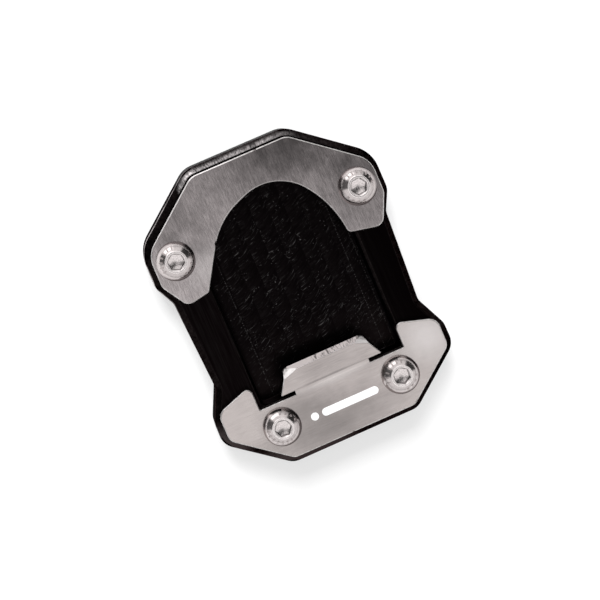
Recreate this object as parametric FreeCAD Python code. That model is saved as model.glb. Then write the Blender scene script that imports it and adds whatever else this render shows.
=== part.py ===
# A foot enlarger for a motorcycle side stand, in millimetres.
# A milled aluminium base plate has a pocket for the foot of the stand.
# A horseshoe plate and a rear plate with a bent tab are screwed on and hold the foot down.
# +X is the right side seen from above, +Y the horseshoe end, +Z up, and z = 0 the underside.
import FreeCAD, Part
import math
import os

# Each SETBACK is measured back from the front edge of the horseshoe plate,
# and each LEAD ahead from the rear edge of the rear plate

# Base plate
BASE_LENGTH = 85.3
BASE_THICKNESS = 12.0
BASE_MARGIN = 2.1           # how far the base stands out beyond both clamp plates
LOBE_MARGIN = 1.75          # and beyond the straight sides of the horseshoe
WAIST_FRONT_HALF = 31.4     # the waist narrows a little from front to rear
WAIST_FRONT_SETBACK = 29.8
WAIST_REAR_HALF = 30.2
WAIST_REAR_LEAD = 25.5
FLARE_HALF = 34.3
FLARE_LEAD = 16.85
WAIST_FRONT_RADIUS = 3.5
WAIST_REAR_RADIUS = 3.0
FLARE_RADIUS = 4.5
BASE_TOP_CHAMFER = 1.6
BASE_BOTTOM_CHAMFER = 0.8

# Pocket for the foot of the stand
POCKET_FLOOR = 4.0          # material left under the pocket
POCKET_HALF_WIDTH = 20.6
POCKET_OFFSET = 0.5         # the pocket lies a little to the right, like the foot
POCKET_FRONT_SETBACK = 6.25
POCKET_REAR_LEAD = 15.75
POCKET_FRONT_RADIUS = 15.0
POCKET_REAR_RADIUS = 1.5
POCKET_CHAMFER = 0.7

# Both clamp plates are cut from the same sheet
SHEET_THICKNESS = 3.0
SHEET_EDGE = 0.25           # deburred upper edges

# Horseshoe plate
FRONT_EDGE_HALF = 13.85
SHOULDER_HALF = 32.35
SHOULDER_SETBACK = 14.6
SIDE_HALF = 32.45
SIDE_SETBACK = 24.1
FRONT_EDGE_RADIUS = 4.5
SHOULDER_RADIUS = 7.0
SIDE_RADIUS = 3.0
HEEL_RADIUS = 2.8

# The arch and the heels follow the foot of the stand, so the two sides differ.
# Each corner is its place across and its setback, and a heel's place is in from the side
HEEL_LEFT = (4.5, 31.4)
HEEL_RIGHT = (3.7, 32.5)
ARCH_LEFT_FOOT = (-21.5, 30.3)
ARCH_LEFT_BEND = (-11.35, 13.7)
ARCH_CROWN = (7.15, 6.7)
ARCH_RIGHT_BEND = (18.15, 21.2)
ARCH_RIGHT_FOOT = (19.3, 30.5)
ARCH_LEFT_FOOT_RADIUS = 1.2
ARCH_LEFT_RADIUS = 21.0
ARCH_CROWN_RADIUS = 13.9
ARCH_RIGHT_RADIUS = 28.0
ARCH_RIGHT_FOOT_RADIUS = 1.5

# Rear plate
REAR_EDGE_HALF = 17.9
REAR_SIDE_HALF = 32.4
REAR_SIDE_LEAD = 11.4
EAR_OUTER_HALF = 32.4
EAR_OUTER_LEAD = 19.5
EAR_INNER_LEAD = 23.2
NOTCH_HALF_WIDTH = 21.3
NOTCH_OFFSET = -0.3         # the notch lies a little to the left
NOTCH_LEAD = 15.9
REAR_EDGE_RADIUS = 2.8
REAR_SIDE_RADIUS = 3.0
EAR_OUTER_RADIUS = 3.2
EAR_INNER_RADIUS = 1.6
NOTCH_RADIUS = 0.4

# Tab of the rear plate, bent up as a lead-in for the foot
TAB_ROOT_HALF = 15.0
TAB_TIP_HALF = 11.6
TAB_LENGTH = 6.5
TAB_ANGLE = 22.0
TAB_BEND_RADIUS = 2.5
TAB_BEND_HALF = 10.9        # the two relief slots end here
TAB_TIP_RADIUS = 1.8
TAB_ROOT_RADIUS = 0.3

# Four M6 button head screws with hexagon sockets
FRONT_SCREW_INSET = 6.15    # in from the side of the horseshoe
FRONT_SCREW_SETBACK = 19.45
FRONT_SCREW_STAGGER = 0.45  # the left one sits further forward by this much, the right one further back
REAR_SCREW_INSET = 14.85    # in from the outer corner of an ear
REAR_SCREW_LEAD = 9.35
REAR_SCREW_OFFSET = -0.3    # both sit a little to the left, like the notch
THREAD_DIAMETER = 6.0
SCREW_LENGTH = 10.0
SCREW_TIP_CHAMFER = 0.8
HEAD_DIAMETER = 10.5
HEAD_HEIGHT = 3.3
HEAD_RIM = 0.5
HEAD_BULGE = 0.45           # how far the domed side swells beyond a straight cone
COLLAR_DIAMETER = 6.2
SOCKET_WIDTH = 4.0          # across the flats
SOCKET_DEPTH = 2.2
SOCKET_MOUTH = 5.0
SOCKET_TIP_ANGLE = 120.0
SOCKET_TURN = {"front_left_screw": 36.7, "front_right_screw": 6.7,
               "rear_left_screw": 54.7, "rear_right_screw": 28.7}
HEXAGON_SIDES = 6

# Clearances
THREAD_CLEARANCE = 0.05     # radial, between a screw and its tapped hole
SCREW_HOLE_CLEARANCE = 0.3  # radial, between a screw and a clamp plate
TAP_RUNOUT = 1.5            # depth of a tapped hole beyond the end of its screw
DRILL_POINT_ANGLE = 118.0

# Places that follow from the sizes above
SHEET_TOP = BASE_THICKNESS + SHEET_THICKNESS
FRONT_EDGE_Y = BASE_LENGTH / 2 - BASE_MARGIN
SHOULDER_Y = FRONT_EDGE_Y - SHOULDER_SETBACK
SIDE_Y = FRONT_EDGE_Y - SIDE_SETBACK
WAIST_FRONT_Y = FRONT_EDGE_Y - WAIST_FRONT_SETBACK
POCKET_FRONT_Y = FRONT_EDGE_Y - POCKET_FRONT_SETBACK
REAR_EDGE_Y = BASE_MARGIN - BASE_LENGTH / 2
REAR_SIDE_Y = REAR_EDGE_Y + REAR_SIDE_LEAD
EAR_OUTER_Y = REAR_EDGE_Y + EAR_OUTER_LEAD
EAR_INNER_Y = REAR_EDGE_Y + EAR_INNER_LEAD
NOTCH_Y = REAR_EDGE_Y + NOTCH_LEAD
FLARE_Y = REAR_EDGE_Y + FLARE_LEAD
WAIST_REAR_Y = REAR_EDGE_Y + WAIST_REAR_LEAD
POCKET_REAR_Y = REAR_EDGE_Y + POCKET_REAR_LEAD
FRONT_SCREW = (SIDE_HALF - FRONT_SCREW_INSET, FRONT_EDGE_Y - FRONT_SCREW_SETBACK)
REAR_SCREW = (EAR_OUTER_HALF - REAR_SCREW_INSET, REAR_EDGE_Y + REAR_SCREW_LEAD)
SCREW_PLACES = {"front_left_screw": (-FRONT_SCREW[0], FRONT_SCREW[1] + FRONT_SCREW_STAGGER),
                "front_right_screw": (FRONT_SCREW[0], FRONT_SCREW[1] - FRONT_SCREW_STAGGER),
                "rear_left_screw": (REAR_SCREW_OFFSET - REAR_SCREW[0], REAR_SCREW[1]),
                "rear_right_screw": (REAR_SCREW_OFFSET + REAR_SCREW[0], REAR_SCREW[1])}
TINY = 1e-6


def at(x, y, z=0.0):
    return FreeCAD.Vector(x, y, z)


def rounded_edges(corners):
    # Each corner is (x, y, radius): straight lines joined by tangent arcs, closed
    count = len(corners)
    points = [at(x, y) for x, y, radius in corners]
    sides = [points[i] - points[i - 1] for i in range(count)]
    half_angles = [(-sides[i]).getAngle(sides[(i + 1) % count]) / 2 for i in range(count)]
    reaches = [corners[i][2] / math.tan(half_angles[i]) for i in range(count)]
    arcs = []
    for i in range(count):
        after = (i + 1) % count
        # Two arcs that would meet on one side share its length
        share = min(1.0, sides[i].Length / (reaches[i - 1] + reaches[i]),
                    sides[after].Length / (reaches[i] + reaches[after]))
        reach = reaches[i] * share
        radius = corners[i][2] * share
        back = (-sides[i]).normalize()
        ahead = at(*sides[after]).normalize()
        inward = (back + ahead).normalize()
        middle = points[i] + inward * (radius / math.sin(half_angles[i]) - radius)
        arcs.append((points[i] + back * reach, middle, points[i] + ahead * reach))
    edges = []
    for i, (start, middle, end) in enumerate(arcs):
        edges.append(Part.Arc(start, middle, end).toShape())
        next_start = arcs[(i + 1) % count][0]
        if (next_start - end).Length > TINY:
            edges.append(Part.LineSegment(end, next_start).toShape())
    return edges


def slab(edges, bottom, height):
    solid = Part.Face(Part.Wire(edges)).extrude(at(0, 0, height))
    solid.translate(at(0, 0, bottom))
    return solid


def mirror(corners):
    # The same corners on the other side, in the opposite order, so that they can follow on
    return [(-x, y, radius) for x, y, radius in reversed(corners)]


def moved_out(first, second, margin):
    # The line from first to second, moved out to its left
    along = (at(*second) - at(*first)).normalize()
    outward = at(-along.y, along.x) * margin
    return at(*first) + outward, along


def crossing(line_a, line_b):
    point_a, along_a = line_a
    point_b, along_b = line_b
    gap = point_b - point_a
    cross = along_a.x * along_b.y - along_a.y * along_b.x
    length = (gap.x * along_b.y - gap.y * along_b.x) / cross
    meeting = point_a + along_a * length
    return meeting.x, meeting.y


def chamfered(solid, size, height):
    # Chamfers every edge that lies flat at this height
    edges = [edge for edge in solid.Edges
             if abs(edge.BoundBox.ZMin - height) < TINY and abs(edge.BoundBox.ZMax - height) < TINY]
    return solid.makeChamfer(size, edges)


def base_outline():
    # The ends follow the clamp plates, and the waist joins them
    front_left = (-FRONT_EDGE_HALF, FRONT_EDGE_Y)
    front_right = (FRONT_EDGE_HALF, FRONT_EDGE_Y)
    shoulder = (SHOULDER_HALF, SHOULDER_Y)
    ear_corner = (EAR_OUTER_HALF, EAR_OUTER_Y)
    rear_corner = (REAR_SIDE_HALF, REAR_SIDE_Y)
    rear_right = (REAR_EDGE_HALF, REAR_EDGE_Y)
    rear_left = (-REAR_EDGE_HALF, REAR_EDGE_Y)
    front = moved_out(front_left, front_right, BASE_MARGIN)
    slant = moved_out(front_right, shoulder, BASE_MARGIN)
    side = moved_out(shoulder, (SIDE_HALF, SIDE_Y), LOBE_MARGIN)
    rear_side = moved_out(ear_corner, rear_corner, BASE_MARGIN)
    rear_slant = moved_out(rear_corner, rear_right, BASE_MARGIN)
    rear = moved_out(rear_right, rear_left, BASE_MARGIN)
    right = [crossing(front, slant) + (FRONT_EDGE_RADIUS + BASE_MARGIN,),
             crossing(slant, side) + (SHOULDER_RADIUS + BASE_MARGIN,),
             (SIDE_HALF + LOBE_MARGIN, SIDE_Y, SIDE_RADIUS + LOBE_MARGIN),
             (WAIST_FRONT_HALF, WAIST_FRONT_Y, WAIST_FRONT_RADIUS),
             (WAIST_REAR_HALF, WAIST_REAR_Y, WAIST_REAR_RADIUS),
             (FLARE_HALF, FLARE_Y, FLARE_RADIUS),
             crossing(rear_side, rear_slant) + (REAR_SIDE_RADIUS + BASE_MARGIN,),
             crossing(rear_slant, rear) + (REAR_EDGE_RADIUS + BASE_MARGIN,)]
    return right + mirror(right)


def make_pocket():
    left = POCKET_OFFSET - POCKET_HALF_WIDTH
    right = POCKET_OFFSET + POCKET_HALF_WIDTH
    corners = [(right, POCKET_FRONT_Y, POCKET_FRONT_RADIUS),
               (right, POCKET_REAR_Y, POCKET_REAR_RADIUS),
               (left, POCKET_REAR_Y, POCKET_REAR_RADIUS),
               (left, POCKET_FRONT_Y, POCKET_FRONT_RADIUS)]
    pocket = slab(rounded_edges(corners), POCKET_FLOOR, BASE_THICKNESS - POCKET_FLOOR)
    # The mouth is chamfered: a thin slab on top widens upwards at 45 degrees
    mouth_bottom = BASE_THICKNESS - POCKET_CHAMFER
    lower = Part.Wire(rounded_edges(corners))
    upper = lower.makeOffset2D(POCKET_CHAMFER)
    lower.translate(at(0, 0, mouth_bottom))
    upper.translate(at(0, 0, BASE_THICKNESS))
    mouth = Part.makeLoft([lower, upper], True, True)
    return pocket.fuse(mouth)


def make_tapped_hole(x, y):
    radius = THREAD_DIAMETER / 2 + THREAD_CLEARANCE
    bottom = SHEET_TOP - SCREW_LENGTH - TAP_RUNOUT
    point_depth = radius / math.tan(math.radians(DRILL_POINT_ANGLE / 2))
    bore = Part.makeCylinder(radius, BASE_THICKNESS - bottom, at(x, y, bottom))
    point = Part.makeCone(0, radius, point_depth, at(x, y, bottom - point_depth))
    return bore.fuse(point)


def make_base():
    base = slab(rounded_edges(base_outline()), 0, BASE_THICKNESS)
    base = chamfered(base, BASE_TOP_CHAMFER, BASE_THICKNESS)
    base = chamfered(base, BASE_BOTTOM_CHAMFER, 0)
    base = base.cut(make_pocket())
    for x, y in SCREW_PLACES.values():
        base = base.cut(make_tapped_hole(x, y))
    return base


def make_clearance_hole(x, y):
    radius = THREAD_DIAMETER / 2 + SCREW_HOLE_CLEARANCE
    return Part.makeCylinder(radius, SHEET_THICKNESS, at(x, y, BASE_THICKNESS))


def make_front_plate():
    left = [(-SIDE_HALF, SIDE_Y, SIDE_RADIUS),
            (-SHOULDER_HALF, SHOULDER_Y, SHOULDER_RADIUS),
            (-FRONT_EDGE_HALF, FRONT_EDGE_Y, FRONT_EDGE_RADIUS)]
    heel_left = (HEEL_LEFT[0] - SIDE_HALF, FRONT_EDGE_Y - HEEL_LEFT[1], HEEL_RADIUS)
    heel_right = (SIDE_HALF - HEEL_RIGHT[0], FRONT_EDGE_Y - HEEL_RIGHT[1], HEEL_RADIUS)
    arch = [(x, FRONT_EDGE_Y - setback, radius) for (x, setback), radius in (
        (ARCH_RIGHT_FOOT, ARCH_RIGHT_FOOT_RADIUS),
        (ARCH_RIGHT_BEND, ARCH_RIGHT_RADIUS),
        (ARCH_CROWN, ARCH_CROWN_RADIUS),
        (ARCH_LEFT_BEND, ARCH_LEFT_RADIUS),
        (ARCH_LEFT_FOOT, ARCH_LEFT_FOOT_RADIUS))]
    outline = rounded_edges([heel_left] + left + mirror(left) + [heel_right] + arch)
    plate = slab(outline, BASE_THICKNESS, SHEET_THICKNESS)
    plate = chamfered(plate, SHEET_EDGE, SHEET_TOP)
    for name in ("front_left_screw", "front_right_screw"):
        plate = plate.cut(make_clearance_hole(*SCREW_PLACES[name]))
    return plate


def make_square_edge(y):
    # Where the tab bends away, the upper edges of the sheet aren't deburred but run on
    edge = Part.makeBox(2 * TAB_BEND_HALF, SHEET_EDGE, SHEET_EDGE)
    edge.translate(at(-TAB_BEND_HALF, y, SHEET_TOP - SHEET_EDGE))
    return edge


def make_tab():
    # The tab is drawn flat ahead of the notch, swung up about the bend, and joined by the bend
    axis_point = at(0, NOTCH_Y, SHEET_TOP + TAB_BEND_RADIUS)
    corners = [(TAB_TIP_HALF, NOTCH_Y + TAB_LENGTH, TAB_TIP_RADIUS),
               (TAB_ROOT_HALF, NOTCH_Y, TAB_ROOT_RADIUS),
               (-TAB_ROOT_HALF, NOTCH_Y, TAB_ROOT_RADIUS),
               (-TAB_TIP_HALF, NOTCH_Y + TAB_LENGTH, TAB_TIP_RADIUS)]
    tab = slab(rounded_edges(corners), BASE_THICKNESS, SHEET_THICKNESS)
    tab = chamfered(tab, SHEET_EDGE, SHEET_TOP).fuse(make_square_edge(NOTCH_Y))
    tab.rotate(axis_point, at(1, 0, 0), TAB_ANGLE)
    section = Part.makePolygon([at(-TAB_BEND_HALF, NOTCH_Y, BASE_THICKNESS),
                                at(TAB_BEND_HALF, NOTCH_Y, BASE_THICKNESS),
                                at(TAB_BEND_HALF, NOTCH_Y, SHEET_TOP),
                                at(-TAB_BEND_HALF, NOTCH_Y, SHEET_TOP),
                                at(-TAB_BEND_HALF, NOTCH_Y, BASE_THICKNESS)])
    bend = Part.Face(section).revolve(axis_point, at(1, 0, 0), TAB_ANGLE)
    return tab, bend


def rear_side_corners(notch_half):
    return [(notch_half, NOTCH_Y, NOTCH_RADIUS),
            (notch_half, EAR_INNER_Y, EAR_INNER_RADIUS),
            (EAR_OUTER_HALF, EAR_OUTER_Y, EAR_OUTER_RADIUS),
            (REAR_SIDE_HALF, REAR_SIDE_Y, REAR_SIDE_RADIUS),
            (REAR_EDGE_HALF, REAR_EDGE_Y, REAR_EDGE_RADIUS)]


def make_rear_plate():
    right = rear_side_corners(NOTCH_HALF_WIDTH + NOTCH_OFFSET)
    left = mirror(rear_side_corners(NOTCH_HALF_WIDTH - NOTCH_OFFSET))
    plate = slab(rounded_edges(right + left), BASE_THICKNESS, SHEET_THICKNESS)
    plate = chamfered(plate, SHEET_EDGE, SHEET_TOP)
    for piece in (make_square_edge(NOTCH_Y - SHEET_EDGE),) + make_tab():
        plate = plate.fuse(piece)
    for name in ("rear_left_screw", "rear_right_screw"):
        plate = plate.cut(make_clearance_hole(*SCREW_PLACES[name]))
    return plate.removeSplitter()


def make_socket():
    # A hexagon with a conical bottom and a chamfered mouth, opening upwards at z = 0
    flat_radius = SOCKET_WIDTH / 2
    step = 2 * math.pi / HEXAGON_SIDES
    corner_radius = flat_radius / math.cos(step / 2)
    corners = [at(corner_radius * math.cos(step * i), corner_radius * math.sin(step * i), -SOCKET_DEPTH)
               for i in range(HEXAGON_SIDES)]
    hexagon = Part.Face(Part.makePolygon(corners + corners[:1])).extrude(at(0, 0, SOCKET_DEPTH))
    tip_depth = flat_radius / math.tan(math.radians(SOCKET_TIP_ANGLE / 2))
    tip = Part.makeCone(0, flat_radius, tip_depth, at(0, 0, -SOCKET_DEPTH - tip_depth))
    mouth_radius = SOCKET_MOUTH / 2
    mouth = Part.makeCone(0, mouth_radius, mouth_radius, at(0, 0, -mouth_radius))
    return hexagon.fuse(tip).fuse(mouth)


def make_screw(name):
    # Turned about its axis with the head's underside at z = 0, then the socket is cut
    rim = at(HEAD_DIAMETER / 2, 0, HEAD_RIM)
    collar = at(COLLAR_DIAMETER / 2, 0, HEAD_HEIGHT)
    side = collar - rim
    swell = at(side.z, 0, -side.x).normalize() * HEAD_BULGE
    shank_radius = THREAD_DIAMETER / 2
    tip_radius = shank_radius - SCREW_TIP_CHAMFER
    dome = Part.Arc(rim, rim + side * 0.5 + swell, collar).toShape()
    rest = Part.makePolygon([collar, at(0, 0, HEAD_HEIGHT), at(0, 0, -SCREW_LENGTH),
                             at(tip_radius, 0, -SCREW_LENGTH),
                             at(shank_radius, 0, SCREW_TIP_CHAMFER - SCREW_LENGTH),
                             at(shank_radius, 0, 0), at(HEAD_DIAMETER / 2, 0, 0), rim])
    profile = Part.Wire([dome] + rest.Edges)
    screw = Part.Face(profile).revolve(at(0, 0, 0), at(0, 0, 1), 360)
    socket = make_socket()
    socket.translate(at(0, 0, HEAD_HEIGHT))
    socket.rotate(at(0, 0, 0), at(0, 0, 1), SOCKET_TURN[name])
    screw = screw.cut(socket)
    screw.translate(at(*SCREW_PLACES[name], SHEET_TOP))
    return screw


def main():
    parts = {"base_plate": make_base(),
             "front_clamp_plate": make_front_plate(),
             "rear_clamp_plate": make_rear_plate()}
    for name in SCREW_PLACES:
        parts[name] = make_screw(name)
    os.makedirs("parts", exist_ok=True)
    for name, shape in parts.items():
        if len(shape.Solids) == 1:
            shape = shape.Solids[0]
        shape.exportStep("parts/" + name + ".step")
        box = shape.BoundBox
        print(name, "solids", len(shape.Solids), "valid", shape.isValid(),
              "volume", round(shape.Volume, 1),
              "size", round(box.XLength, 2), round(box.YLength, 2), round(box.ZLength, 2))


main()
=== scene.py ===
import math

import bpy
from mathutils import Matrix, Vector


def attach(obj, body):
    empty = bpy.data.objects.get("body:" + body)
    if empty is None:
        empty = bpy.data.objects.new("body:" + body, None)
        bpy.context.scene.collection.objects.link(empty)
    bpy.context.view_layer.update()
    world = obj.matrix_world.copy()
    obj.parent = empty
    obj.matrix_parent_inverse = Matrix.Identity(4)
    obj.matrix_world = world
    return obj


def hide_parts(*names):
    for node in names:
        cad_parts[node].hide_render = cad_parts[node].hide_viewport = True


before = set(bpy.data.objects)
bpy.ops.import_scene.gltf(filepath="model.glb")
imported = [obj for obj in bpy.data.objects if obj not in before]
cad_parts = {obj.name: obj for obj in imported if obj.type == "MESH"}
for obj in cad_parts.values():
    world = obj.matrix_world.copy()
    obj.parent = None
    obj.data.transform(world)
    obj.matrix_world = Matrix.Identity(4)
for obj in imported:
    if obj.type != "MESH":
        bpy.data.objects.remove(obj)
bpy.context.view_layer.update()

mm = 0.001
print("frame loaded")


# Small helpers for node trees

def fill(tree, socket, value):
    # A number or a tuple is set on the socket, anything else is linked to it
    if isinstance(value, bpy.types.NodeSocket):
        tree.links.new(value, socket)
    else:
        socket.default_value = value


def mathNode(tree, operation, *values, clamp=False):
    node = tree.nodes.new("ShaderNodeMath")
    node.operation = operation
    node.use_clamp = clamp
    for socket, value in zip(node.inputs, values):
        fill(tree, socket, value)
    return node.outputs[0]


def product(tree, first, *others):
    for value in others:
        first = mathNode(tree, "MULTIPLY", first, value)
    return first


def largest(tree, first, *others):
    for value in others:
        first = mathNode(tree, "MAXIMUM", first, value)
    return first


def vectorNode(tree, operation, *values):
    node = tree.nodes.new("ShaderNodeVectorMath")
    node.operation = operation
    for socket, value in zip(node.inputs, values):
        fill(tree, socket, value)
    return node.outputs["Value" if operation in ("DOT_PRODUCT", "DISTANCE", "LENGTH") else "Vector"]


def scaled(tree, vector, factor):
    node = tree.nodes.new("ShaderNodeVectorMath")
    node.operation = "SCALE"
    fill(tree, node.inputs[0], vector)
    fill(tree, node.inputs["Scale"], factor)
    return node.outputs[0]


def axes(tree, vector):
    node = tree.nodes.new("ShaderNodeSeparateXYZ")
    fill(tree, node.inputs[0], vector)
    return node.outputs[0], node.outputs[1], node.outputs[2]


def joined(tree, x, y, z):
    node = tree.nodes.new("ShaderNodeCombineXYZ")
    for socket, value in zip(node.inputs, (x, y, z)):
        fill(tree, socket, value)
    return node.outputs[0]


def noiseNode(tree, vector, scale, detail, roughness):
    node = tree.nodes.new("ShaderNodeTexNoise")
    for label, value in (("Vector", vector), ("Scale", scale), ("Detail", detail), ("Roughness", roughness)):
        fill(tree, node.inputs[label], value)
    return node.outputs["Fac"]


def mapRange(tree, value, low, high, toLow=0.0, toHigh=1.0, smooth=False):
    node = tree.nodes.new("ShaderNodeMapRange")
    node.interpolation_type = "SMOOTHSTEP" if smooth else "LINEAR"
    for socket, number in zip(node.inputs, (value, low, high, toLow, toHigh)):
        fill(tree, socket, number)
    return node.outputs["Result"]


def mixColours(tree, factor, first, second):
    node = tree.nodes.new("ShaderNodeMix")
    node.data_type = "RGBA"
    for socket, value in ((node.inputs["Factor"], factor), (node.inputs[6], first), (node.inputs[7], second)):
        fill(tree, socket, (*value, 1) if isinstance(value, tuple) else value)
    return node.outputs[2]


def darker(colour, share):
    return tuple(share * part for part in colour)


# The studio: camera, light tent, floor and two soft boxes, in metres

studio = {
    "cameraPlace": (-0.02641, 0.06528, 0.47563),
    "cameraTurn": (-6.2740, -6.2586, -23.0744),  # degrees about X, Y and Z
    "lens": 103.98, "sensor": 36.0, "nearest": 0.01,
    "floorSize": 6.0, "floorHeight": -0.0002,
    "floorColour": (0.50, 0.50, 0.50),
    "floorGlow": 0.53,
}

softboxes = {
    "frontPanel": {"place": (-0.25, 1.1, 0.35), "size": (0.9, 0.5), "watts": 1.7, "inReflections": True},
    "overheadBox": {"place": (0.04, 0.85, 1.05), "size": (0.48, 0.48), "watts": 16.0, "inReflections": False},
}

sky = {
    # Each point of the wall is the sine of its height and its strength
    "wall": ((0.0, 0.50), (0.10, 0.58), (0.30, 0.78), (0.80, 0.86), (0.95, 0.95)),
    "gaps": ((15.0, 24.0, 0.04), (150.0, 23.0, 0.12)),  # azimuth, half width, what is left of the light
    "gapEdge": 4.0,
    "opening": (0.14, 0.035),  # the dark opening overhead for the lens, as the level part of its direction
    "openingEdge": (0.10, 0.24), "openingLight": 0.10,
}


def addCamera():
    bpy.ops.object.camera_add(location=studio["cameraPlace"],
                              rotation=[math.radians(angle) for angle in studio["cameraTurn"]])
    camera = bpy.context.object
    camera.name = "photoCamera"
    camera.data.sensor_width = studio["sensor"]
    camera.data.lens = studio["lens"]
    camera.data.clip_start = studio["nearest"]
    camera.data.dof.use_dof = False
    bpy.context.scene.camera = camera


def addSoftbox(name, place, size, watts, inReflections):
    # Each box faces the middle of the frame
    bpy.ops.object.light_add(type="AREA", location=place)
    lamp = bpy.context.object
    lamp.name = name
    lamp.data.shape = "RECTANGLE"
    lamp.data.size, lamp.data.size_y = size
    lamp.data.energy = watts
    lamp.visible_glossy = inReflections
    lamp.rotation_euler = (-lamp.location).to_track_quat("-Z", "Y").to_euler()


def addSky():
    # A light tent: dim at the lens opening overhead and along the floor, bright between, with two dark gaps
    world = bpy.data.worlds.new("lightTent")
    world.use_nodes = True
    bpy.context.scene.world = world
    tree = world.node_tree
    tree.nodes.clear()
    x, y, z = axes(tree, tree.nodes.new("ShaderNodeTexCoord").outputs["Generated"])
    wall = tree.nodes.new("ShaderNodeValToRGB")
    wall.color_ramp.interpolation = "EASE"
    while len(wall.color_ramp.elements) < len(sky["wall"]):
        wall.color_ramp.elements.new(0.5)
    for element, (height, strength) in zip(wall.color_ramp.elements, sky["wall"]):
        element.position = height
        element.color = (strength, strength, strength, 1)
    fill(tree, wall.inputs["Fac"], z)
    tent = wall.outputs["Color"]
    level = joined(tree, x, y, 0.0)
    around = vectorNode(tree, "NORMALIZE", level)
    for azimuth, halfWidth, strength in sky["gaps"]:
        angle = math.radians(azimuth)
        towards = vectorNode(tree, "DOT_PRODUCT", around, (math.cos(angle), math.sin(angle), 0))
        outer = math.cos(math.radians(halfWidth + sky["gapEdge"]))
        inner = math.cos(math.radians(halfWidth - sky["gapEdge"]))
        tent = scaled(tree, tent, mapRange(tree, towards, outer, inner, 1.0, strength, smooth=True))
    aside = vectorNode(tree, "DISTANCE", level, (*sky["opening"], 0))
    opening = mapRange(tree, aside, *sky["openingEdge"], sky["openingLight"], 1.0, smooth=True)
    tent = scaled(tree, tent, opening)
    room = tree.nodes.new("ShaderNodeBackground")
    fill(tree, room.inputs["Color"], tent)
    white = tree.nodes.new("ShaderNodeBackground")
    seen = tree.nodes.new("ShaderNodeMixShader")
    fill(tree, seen.inputs["Fac"], tree.nodes.new("ShaderNodeLightPath").outputs["Is Camera Ray"])
    fill(tree, seen.inputs[1], room.outputs[0])
    fill(tree, seen.inputs[2], white.outputs[0])
    fill(tree, tree.nodes.new("ShaderNodeOutputWorld").inputs["Surface"], seen.outputs[0])


def addFloor():
    # Pale paper that glows a little where it is seen, but lights nothing, and keeps the shadow
    bpy.ops.mesh.primitive_plane_add(size=studio["floorSize"], location=(0, 0, studio["floorHeight"]))
    floor = bpy.context.object
    floor.name = "studioFloor"
    material = bpy.data.materials.new("paleFloor")
    material.use_nodes = True
    tree = material.node_tree
    tree.nodes.clear()
    paper = tree.nodes.new("ShaderNodeBsdfDiffuse")
    paper.inputs["Color"].default_value = (*studio["floorColour"], 1)
    rays = tree.nodes.new("ShaderNodeLightPath").outputs
    seen = largest(tree, rays["Is Camera Ray"], rays["Is Glossy Ray"], rays["Is Transmission Ray"])
    glow = tree.nodes.new("ShaderNodeEmission")
    fill(tree, glow.inputs["Strength"], product(tree, seen, studio["floorGlow"]))
    both = tree.nodes.new("ShaderNodeAddShader")
    fill(tree, both.inputs[0], paper.outputs[0])
    fill(tree, both.inputs[1], glow.outputs[0])
    fill(tree, tree.nodes.new("ShaderNodeOutputMaterial").inputs["Surface"], both.outputs[0])
    floor.data.materials.append(material)


bpy.context.scene.view_settings.view_transform = "Standard"
bpy.ops.object.select_all(action="DESELECT")
addCamera()
addSky()
addFloor()
for name, look in softboxes.items():
    addSoftbox(name, **look)
print("studio ready")


# Finishes that several materials share, in millimetres. A noise is its scale, its detail and its roughness,
# and a range is low and high, with what they become where that isn't 0 and 1

grainLook = {
    "broad": (0.22, 2.0, 0.6), "fine": (1.0, 3.0, 0.7), "cloud": (0.13, 3.0, 0.55), "fineShare": 0.75,
}

cutterLook = {
    "stretch": (4.2, 0.3, 9.7), "arcs": (1.0, 3.0, 0.65), "leastReach": 0.01,
    "glints": (1.0, 2.0, 0.6), "glintShift": (31.0, 17.0, 5.0), "glintRange": (0.62, 0.84),
    "patches": (0.22, 3.0, 0.6), "patchShift": (7.0, 3.0, 0.0), "patchRange": (0.40, 0.62, 0.12, 1.0),
    "specks": (2.4, 0.0, 0.5), "speckRange": (0.77, 0.88, 0.0, 0.6),
}

barLook = {"edge": (-0.03, 0.03), "lowest": -0.2}

patchLook = {"ragged": (0.25, 3.0, 0.6), "border": (1.1, 0.2)}


def newGroup(name, inputs, outputs):
    # inputs and outputs are {label: socket type}
    group = bpy.data.node_groups.new(name, "ShaderNodeTree")
    for label, kind in inputs.items():
        group.interface.new_socket(name=label, in_out="INPUT", socket_type="NodeSocket" + kind)
    for label, kind in outputs.items():
        group.interface.new_socket(name=label, in_out="OUTPUT", socket_type="NodeSocket" + kind)
    return group, group.nodes.new("NodeGroupInput").outputs, group.nodes.new("NodeGroupOutput").inputs


def groupNode(tree, group, **values):
    # Labels are written with an underscore for each space
    node = tree.nodes.new("ShaderNodeGroup")
    node.node_tree = group
    for label, value in values.items():
        fill(tree, node.inputs[label.replace("_", " ")], value)
    return node.outputs


def buildBrushedGrain():
    # Long fine lines: Stretch is lines per millimetre along each axis
    group, given, result = newGroup("brushedGrain", {"Vector": "Vector", "Stretch": "Vector"},
                                    {"Streaks": "Float", "Cloud": "Float", "Height": "Float"})
    stretched = vectorNode(group, "MULTIPLY", given["Vector"], given["Stretch"])
    broad = product(group, noiseNode(group, stretched, *grainLook["broad"]), 1.0 - grainLook["fineShare"])
    fine = noiseNode(group, stretched, *grainLook["fine"])
    fill(group, result["Streaks"], mathNode(group, "MULTIPLY_ADD", fine, grainLook["fineShare"], broad))
    fill(group, result["Cloud"], noiseNode(group, given["Vector"], *grainLook["cloud"]))
    fill(group, result["Height"], fine)
    return group


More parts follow.
